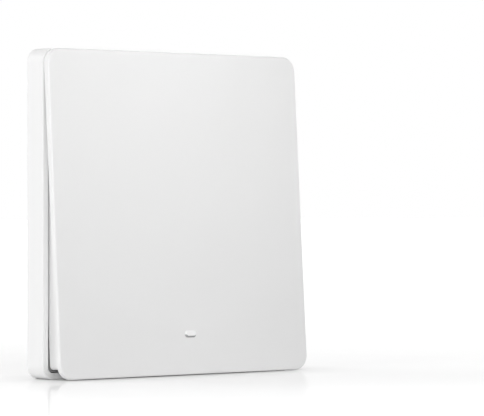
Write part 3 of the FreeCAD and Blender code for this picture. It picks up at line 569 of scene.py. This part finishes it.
def pan_head_screw():
    """Screw with a domed head, a cross recess and a thread. The point is its seat, and it faces forward."""
    tree = Tree("pan_head_screw", {
        "Head Radius": "Float", "Head Height": "Float", "Shank Radius": "Float", "Shank Length": "Float",
        "Pitch": "Float", "Thread Depth": "Float", "Recess Span": "Float", "Recess Width": "Float",
        "Recess Depth": "Float", "Seed": "Int"})
    given, x, y, z = tree.given, tree.x, tree.y, tree.z
    head_r, head_h = given["Head Radius"], given["Head Height"]
    blank = tree.node("GeometryNodeMeshCylinder", {"fill_type": "TRIANGLE_FAN"}, {
        "Vertices": 32, "Side Segments": 3, "Fill Segments": 5, "Radius": head_r, "Depth": head_h})
    rise = z / head_h + 0.5
    out = (x * x + y * y) ** 0.5 / head_r
    head = tree.shape(blank, x, y, head_h * rise * (1.0 - SCREW_HEAD_DOME * out ** 4.0))
    span, width = given["Recess Span"], given["Recess Width"]
    bars = []
    for wide, tall in ((span, width), (width, span)):
        size = tree.vector(wide, tall, 2.0 * given["Recess Depth"])
        bar = tree.node("GeometryNodeMeshCube", {}, {"Size": size})
        bars.append(tree.shape(bar, x, y, z + head_h))
    cut = {"operation": "DIFFERENCE", "solver": "EXACT"}
    head = tree.node("GeometryNodeMeshBoolean", cut, {0: head, 1: bars})
    shank_r, shank_l = given["Shank Radius"], given["Shank Length"]
    rod = tree.node("GeometryNodeMeshCylinder", {"fill_type": "TRIANGLE_FAN"}, {
        "Vertices": 24, "Side Segments": 64, "Radius": 1.0, "Depth": shank_l})
    down = z - 0.5 * shank_l
    around = tree.math("ARCTAN2", y, x) / (2.0 * math.pi)
    ridge = 2.0 * tree.math("PINGPONG", down / given["Pitch"] + around, 0.5)
    point = tree.math("MINIMUM", (down + shank_l) / shank_r, 1.0)
    taper = SCREW_TIP + (1.0 - SCREW_TIP) * point
    reach = (shank_r - given["Thread Depth"] * (1.0 - ridge)) * taper
    shank = tree.shape(rod, x * reach, y * reach, down)
    whole = tree.node("GeometryNodeJoinGeometry", {}, {0: [head, shank]})
    spin = tree.node("FunctionNodeRandomValue", {"data_type": "FLOAT"}, {
        2: 0.0, 3: math.pi, "Seed": given["Seed"]}, out=1)
    return tree.close(whole, (math.pi / 2, spin, 0.0))


def drive_screws():
    """Screws of the cover and of the bracket, in place of their plain solids."""
    tree = pan_head_screw()
    for seed, node in enumerate(("cover_screws", "bracket_screws")):
        boxes = solid_boxes(node)
        seats = [((low.x + high.x) / 2, low.y + SCREW_HEAD_HEIGHT, (low.z + high.z) / 2)
                 for low, high in boxes]
        low, high = boxes[0]
        head_r = (high.x - low.x) / 2
        piece = grow(node + "_cut", tree, seats, {
            "Head Radius": head_r, "Head Height": SCREW_HEAD_HEIGHT, "Shank Radius": SCREW_SHANK_RADIUS,
            "Shank Length": high.y - low.y - SCREW_HEAD_HEIGHT, "Pitch": SCREW_PITCH,
            "Thread Depth": SCREW_THREAD, "Recess Span": RECESS_SPAN * head_r,
            "Recess Width": RECESS_WIDTH * head_r, "Recess Depth": RECESS_DEPTH * SCREW_HEAD_HEIGHT,
            "Seed": seed}, "screw_zinc")
        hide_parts(node)


# Generator coil

def wire_turns():
    """Wire wound round a rounded rectangle, along its own x axis about the point."""
    tree = Tree("wire_turns", {
        "Turns": "Float", "Length": "Float", "Half Depth": "Float", "Half Width": "Float",
        "Squareness": "Float", "Wire Radius": "Float", "Lean": "Float"})
    given, x, y, z = tree.given, tree.x, tree.y, tree.z
    length = given["Length"]
    helix = tree.node("GeometryNodeCurveSpiral", {}, {
        "Resolution": 32, "Rotations": given["Turns"], "Start Radius": 1.0, "End Radius": 1.0,
        "Height": length})
    depth, width = [tree.math("SIGN", side) * abs(side) ** given["Squareness"] for side in (y, x)]
    path = tree.shape(helix, z - 0.5 * length, depth * given["Half Depth"], width * given["Half Width"])
    ring = tree.node("GeometryNodeCurvePrimitiveCircle", {"mode": "RADIUS"}, {
        "Resolution": 6, "Radius": given["Wire Radius"]})
    wire = tree.node("GeometryNodeCurveToMesh", {}, {
        "Curve": path, "Profile Curve": ring, "Fill Caps": True})
    return tree.close(wire, (0.0, 0.0, given["Lean"]))


def wind_coil():
    """Top layer of the winding turn by turn over its inner layers, and the ends wrapped on the posts."""
    low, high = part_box("coil_winding")
    middle = (low + high) / 2
    half = (high - low) / 2
    tree = wire_turns()
    layer = 2 * WIRE_RADIUS
    drop = LAYER_DROP * layer
    copy = welded("coil_winding")
    for vert in copy.verts:
        away = vert.co - middle
        for axis in (1, 2):
            if abs(away[axis]) > half[axis] - drop:
                vert.co[axis] -= math.copysign(drop, away[axis])
    inner = dressed("coil_inner_layers", copy, "winding_copper")
    length = 2 * half.x - layer
    turns = grow("coil_top_layer", tree, [middle], {
        "Turns": length / layer, "Length": length, "Half Depth": half.y - WIRE_RADIUS,
        "Half Width": half.z - WIRE_RADIUS, "Squareness": COIL_SQUARENESS, "Wire Radius": WIRE_RADIUS,
        "Lean": 0.0}, "winding_copper")
    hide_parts("coil_winding")
    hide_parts("coil_winding")
    wraps = []
    for low, high in solid_boxes("coil_terminals"):
        post = (low + high) / 2
        wraps.append((post.x, low.y + WRAP_BACK, post.z))
    reach = (high.x - low.x) / 2 + WIRE_RADIUS
    grow("coil_post_wraps", tree, wraps, {
        "Turns": WRAP_TURNS, "Length": WRAP_LENGTH, "Half Depth": reach, "Half Width": reach,
        "Squareness": WRAP_SQUARENESS, "Wire Radius": WRAP_RADIUS, "Lean": math.pi / 2}, "winding_copper")


# Board details

def solder_fillet():
    """Ring of solder drawn up round a post, facing forward from the point."""
    tree = Tree("solder_fillet", {"Foot": "Float", "Post": "Float", "Height": "Float"})
    given, x, y, z = tree.given, tree.x, tree.y, tree.z
    blank = tree.node("GeometryNodeMeshCone", {"fill_type": "TRIANGLE_FAN"}, {
        "Vertices": 24, "Side Segments": 8, "Radius Top": 1.0, "Radius Bottom": 1.0, "Depth": 1.0})
    reach = given["Post"] + (given["Foot"] - given["Post"]) * (1.0 - z) ** SOLDER_HOLLOW
    ring = tree.shape(blank, x * reach, y * reach, z * given["Height"])
    return tree.close(ring, (math.pi / 2, 0.0, 0.0))


def end_cap():
    """Small block with rounded edges, centred on the point."""
    tree = Tree("end_cap", {"Width": "Float", "Depth": "Float", "Height": "Float"})
    given, x, y, z = tree.given, tree.x, tree.y, tree.z
    blank = tree.node("GeometryNodeMeshCube", {}, {
        "Size": (2.0, 2.0, 2.0), "Vertices X": 5, "Vertices Y": 5, "Vertices Z": 5})
    power = CHIP_CAP_SQUARENESS
    pull = 0.5 * (abs(x) ** power + abs(y) ** power + abs(z) ** power) ** (-1.0 / power)
    width, depth, height = pull * given["Width"], pull * given["Depth"], pull * given["Height"]
    return tree.close(tree.shape(blank, x * width, y * depth, z * height), (0.0, 0.0, 0.0))


def solder_board():
    """Solder at the coil's posts and the tinned ends of the small chips."""
    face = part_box("circuit_board")[0].y
    posts = [((low.x + high.x) / 2, face, (low.z + high.z) / 2)
             for low, high in solid_boxes("coil_terminals")]
    grow("post_solder", solder_fillet(), posts, {
        "Foot": SOLDER_FOOT, "Post": SOLDER_POST, "Height": SOLDER_HEIGHT}, "tinned_metal")
    boxes = solid_boxes("chip_parts")
    long, deep, tall = boxes[0][1] - boxes[0][0]
    cap = CHIP_CAP_SHARE * long
    inset = cap / 2 - CHIP_CAP_PROUD
    ends = []
    for low, high in boxes:
        middle = (low + high) / 2
        ends += [(x, middle.y, middle.z) for x in (low.x + inset, high.x - inset)]
    grow("chip_end_caps", end_cap(), ends, {
        "Width": cap, "Depth": deep + 2 * CHIP_CAP_PROUD, "Height": tall + 2 * CHIP_CAP_PROUD},
        "tinned_metal")


# Springs

def bend_springs():
    """Leaf springs as a welded, smooth-shaded copy, in place of the rigid solids."""
    leaves = dressed("return_spring_leaves", welded("return_springs"), "spring_steel")
    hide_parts("return_springs")
    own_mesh(leaves)


# Floor, light and camera

def seen_directly(graph):
    """1 for rays from the camera, mirrors and glass, 0 for the light that falls on the object."""
    camera, gloss, glass = graph.node("ShaderNodeLightPath", out=(
        "Is Camera Ray", "Is Glossy Ray", "Is Transmission Ray"))
    return graph.math("MAXIMUM", camera, graph.math("MAXIMUM", gloss, glass))


def lay_floor():
    """Pale polished floor under the switch, which stays white to the camera. Its shadow is partly real, from
    the lamps on its matt part, and partly painted into its glow.
    """
    half = FLOOR_SIDE / 2
    corners = [(x, y, cad_low.z) for x, y in ((-half, -half), (half, -half), (half, half), (-half, half))]
    mesh = bpy.data.meshes.new("floor")
    mesh.from_pydata(corners, [], [(0, 1, 2, 3)])
    floor = bpy.data.objects.new("floor", mesh)
    bpy.context.scene.collection.objects.link(floor)
    finish = Finish("floor_board")
    x, y, _ = finish.axes()
    # Nearness to the switch, for the painted dip in the glow and for the mirror's share
    near = 1.0 / (1.0 + (x * x + y * y) ** 0.5 / POLISH_AND_SHADE_REACH)
    open_share = finish.node("ShaderNodeAmbientOcclusion", {}, {"Distance": CONTACT_REACH}, out="AO")
    # Painted shadow: the glow dims near the switch and where ambient occlusion finds the object close
    glow = (FLOOR_GLOW - FLOOR_PAINTED_DIP * near) * open_share ** CONTACT_POWER * seen_directly(finish)
    finish.wear({
        "Base Color": FLOOR_SHADE,
        "Roughness": FLOOR_ROUGHNESS,
        "Specular IOR Level": 0.0,
        "Emission Color": finish.mix(glow, BLACK, WHITE),
        "Emission Strength": 1.0,
    })
    matt = Value(finish, finish.surface.outputs[0])
    sheen = finish.node("ShaderNodeBsdfGlossy", {}, {"Roughness": MIRROR_ROUGHNESS})
    grazing = finish.node("ShaderNodeLayerWeight", {}, {"Blend": 0.5}, out="Facing")
    share = FLOOR_MIRROR * near * grazing ** GRAZING_POWER
    both = finish.node("ShaderNodeMixShader", {}, {0: share, 1: matt, 2: sheen})
    finish.fill(finish.tree.nodes["Material Output"], {"Surface": both})
    mesh.materials.append(finish.material)


def light_room():
    """Even dome, low suns all round and two small lamps in front of the rocker and above it."""
    world = bpy.data.worlds.new("studio")
    bpy.context.scene.world = world
    world.use_nodes = True
    world.node_tree.nodes.clear()
    graph = Graph(world.node_tree)
    dome, backdrop = [graph.node("ShaderNodeBackground", {}, {"Strength": level, "Color": WHITE})
                      for level in (SKY, 1.0)]
    both = graph.node("ShaderNodeMixShader", {}, {0: seen_directly(graph), 1: dome, 2: backdrop})
    graph.node("ShaderNodeOutputWorld", {}, {"Surface": both})
    for name, (kind, settings, place, aim) in LAMPS.items():
        lamp = bpy.data.lights.new(name, kind)
        for key, value in settings.items():
            setattr(lamp, key, value)
        holder = bpy.data.objects.new(name, lamp)
        holder.location = place
        holder.rotation_mode = "QUATERNION"
        holder.rotation_quaternion = (Vector(aim) - Vector(place)).to_track_quat("-Z", "Y")
        holder.visible_camera = False
        holder.visible_glossy = name != MATT_LAMP
        bpy.context.scene.collection.objects.link(holder)


def place_camera():
    """Camera where the photograph was taken from."""
    azimuth = math.radians(CAMERA_AZIMUTH)
    pitch = math.radians(CAMERA_PITCH)
    turn = azimuth + math.radians(CAMERA_YAW)
    out = CAMERA_DISTANCE
    place = Vector((math.sin(azimuth) * out, -math.cos(azimuth) * out, CAMERA_HEIGHT)) * MM
    ahead = Vector((-math.sin(turn) * math.cos(pitch), math.cos(turn) * math.cos(pitch), math.sin(pitch)))
    right = Vector((math.cos(turn), math.sin(turn), 0.0))
    up = right.cross(ahead)
    lens = bpy.data.cameras.new("camera")
    lens.sensor_width = SENSOR
    lens.lens = FOCAL_PIXELS / IMAGE_WIDTH * SENSOR
    lens.clip_start = 0.01
    lens.clip_end = 100.0
    camera = bpy.data.objects.new("camera", lens)
    axes = Matrix((right, up, -ahead)).transposed().to_4x4()
    camera.matrix_world = Matrix.Translation(place) @ axes
    bpy.context.scene.collection.objects.link(camera)
    bpy.context.scene.camera = camera


drive_screws()
wind_coil()
solder_board()
bend_springs()
lay_floor()
light_room()
place_camera()
bpy.context.scene.view_settings.view_transform = "Standard"
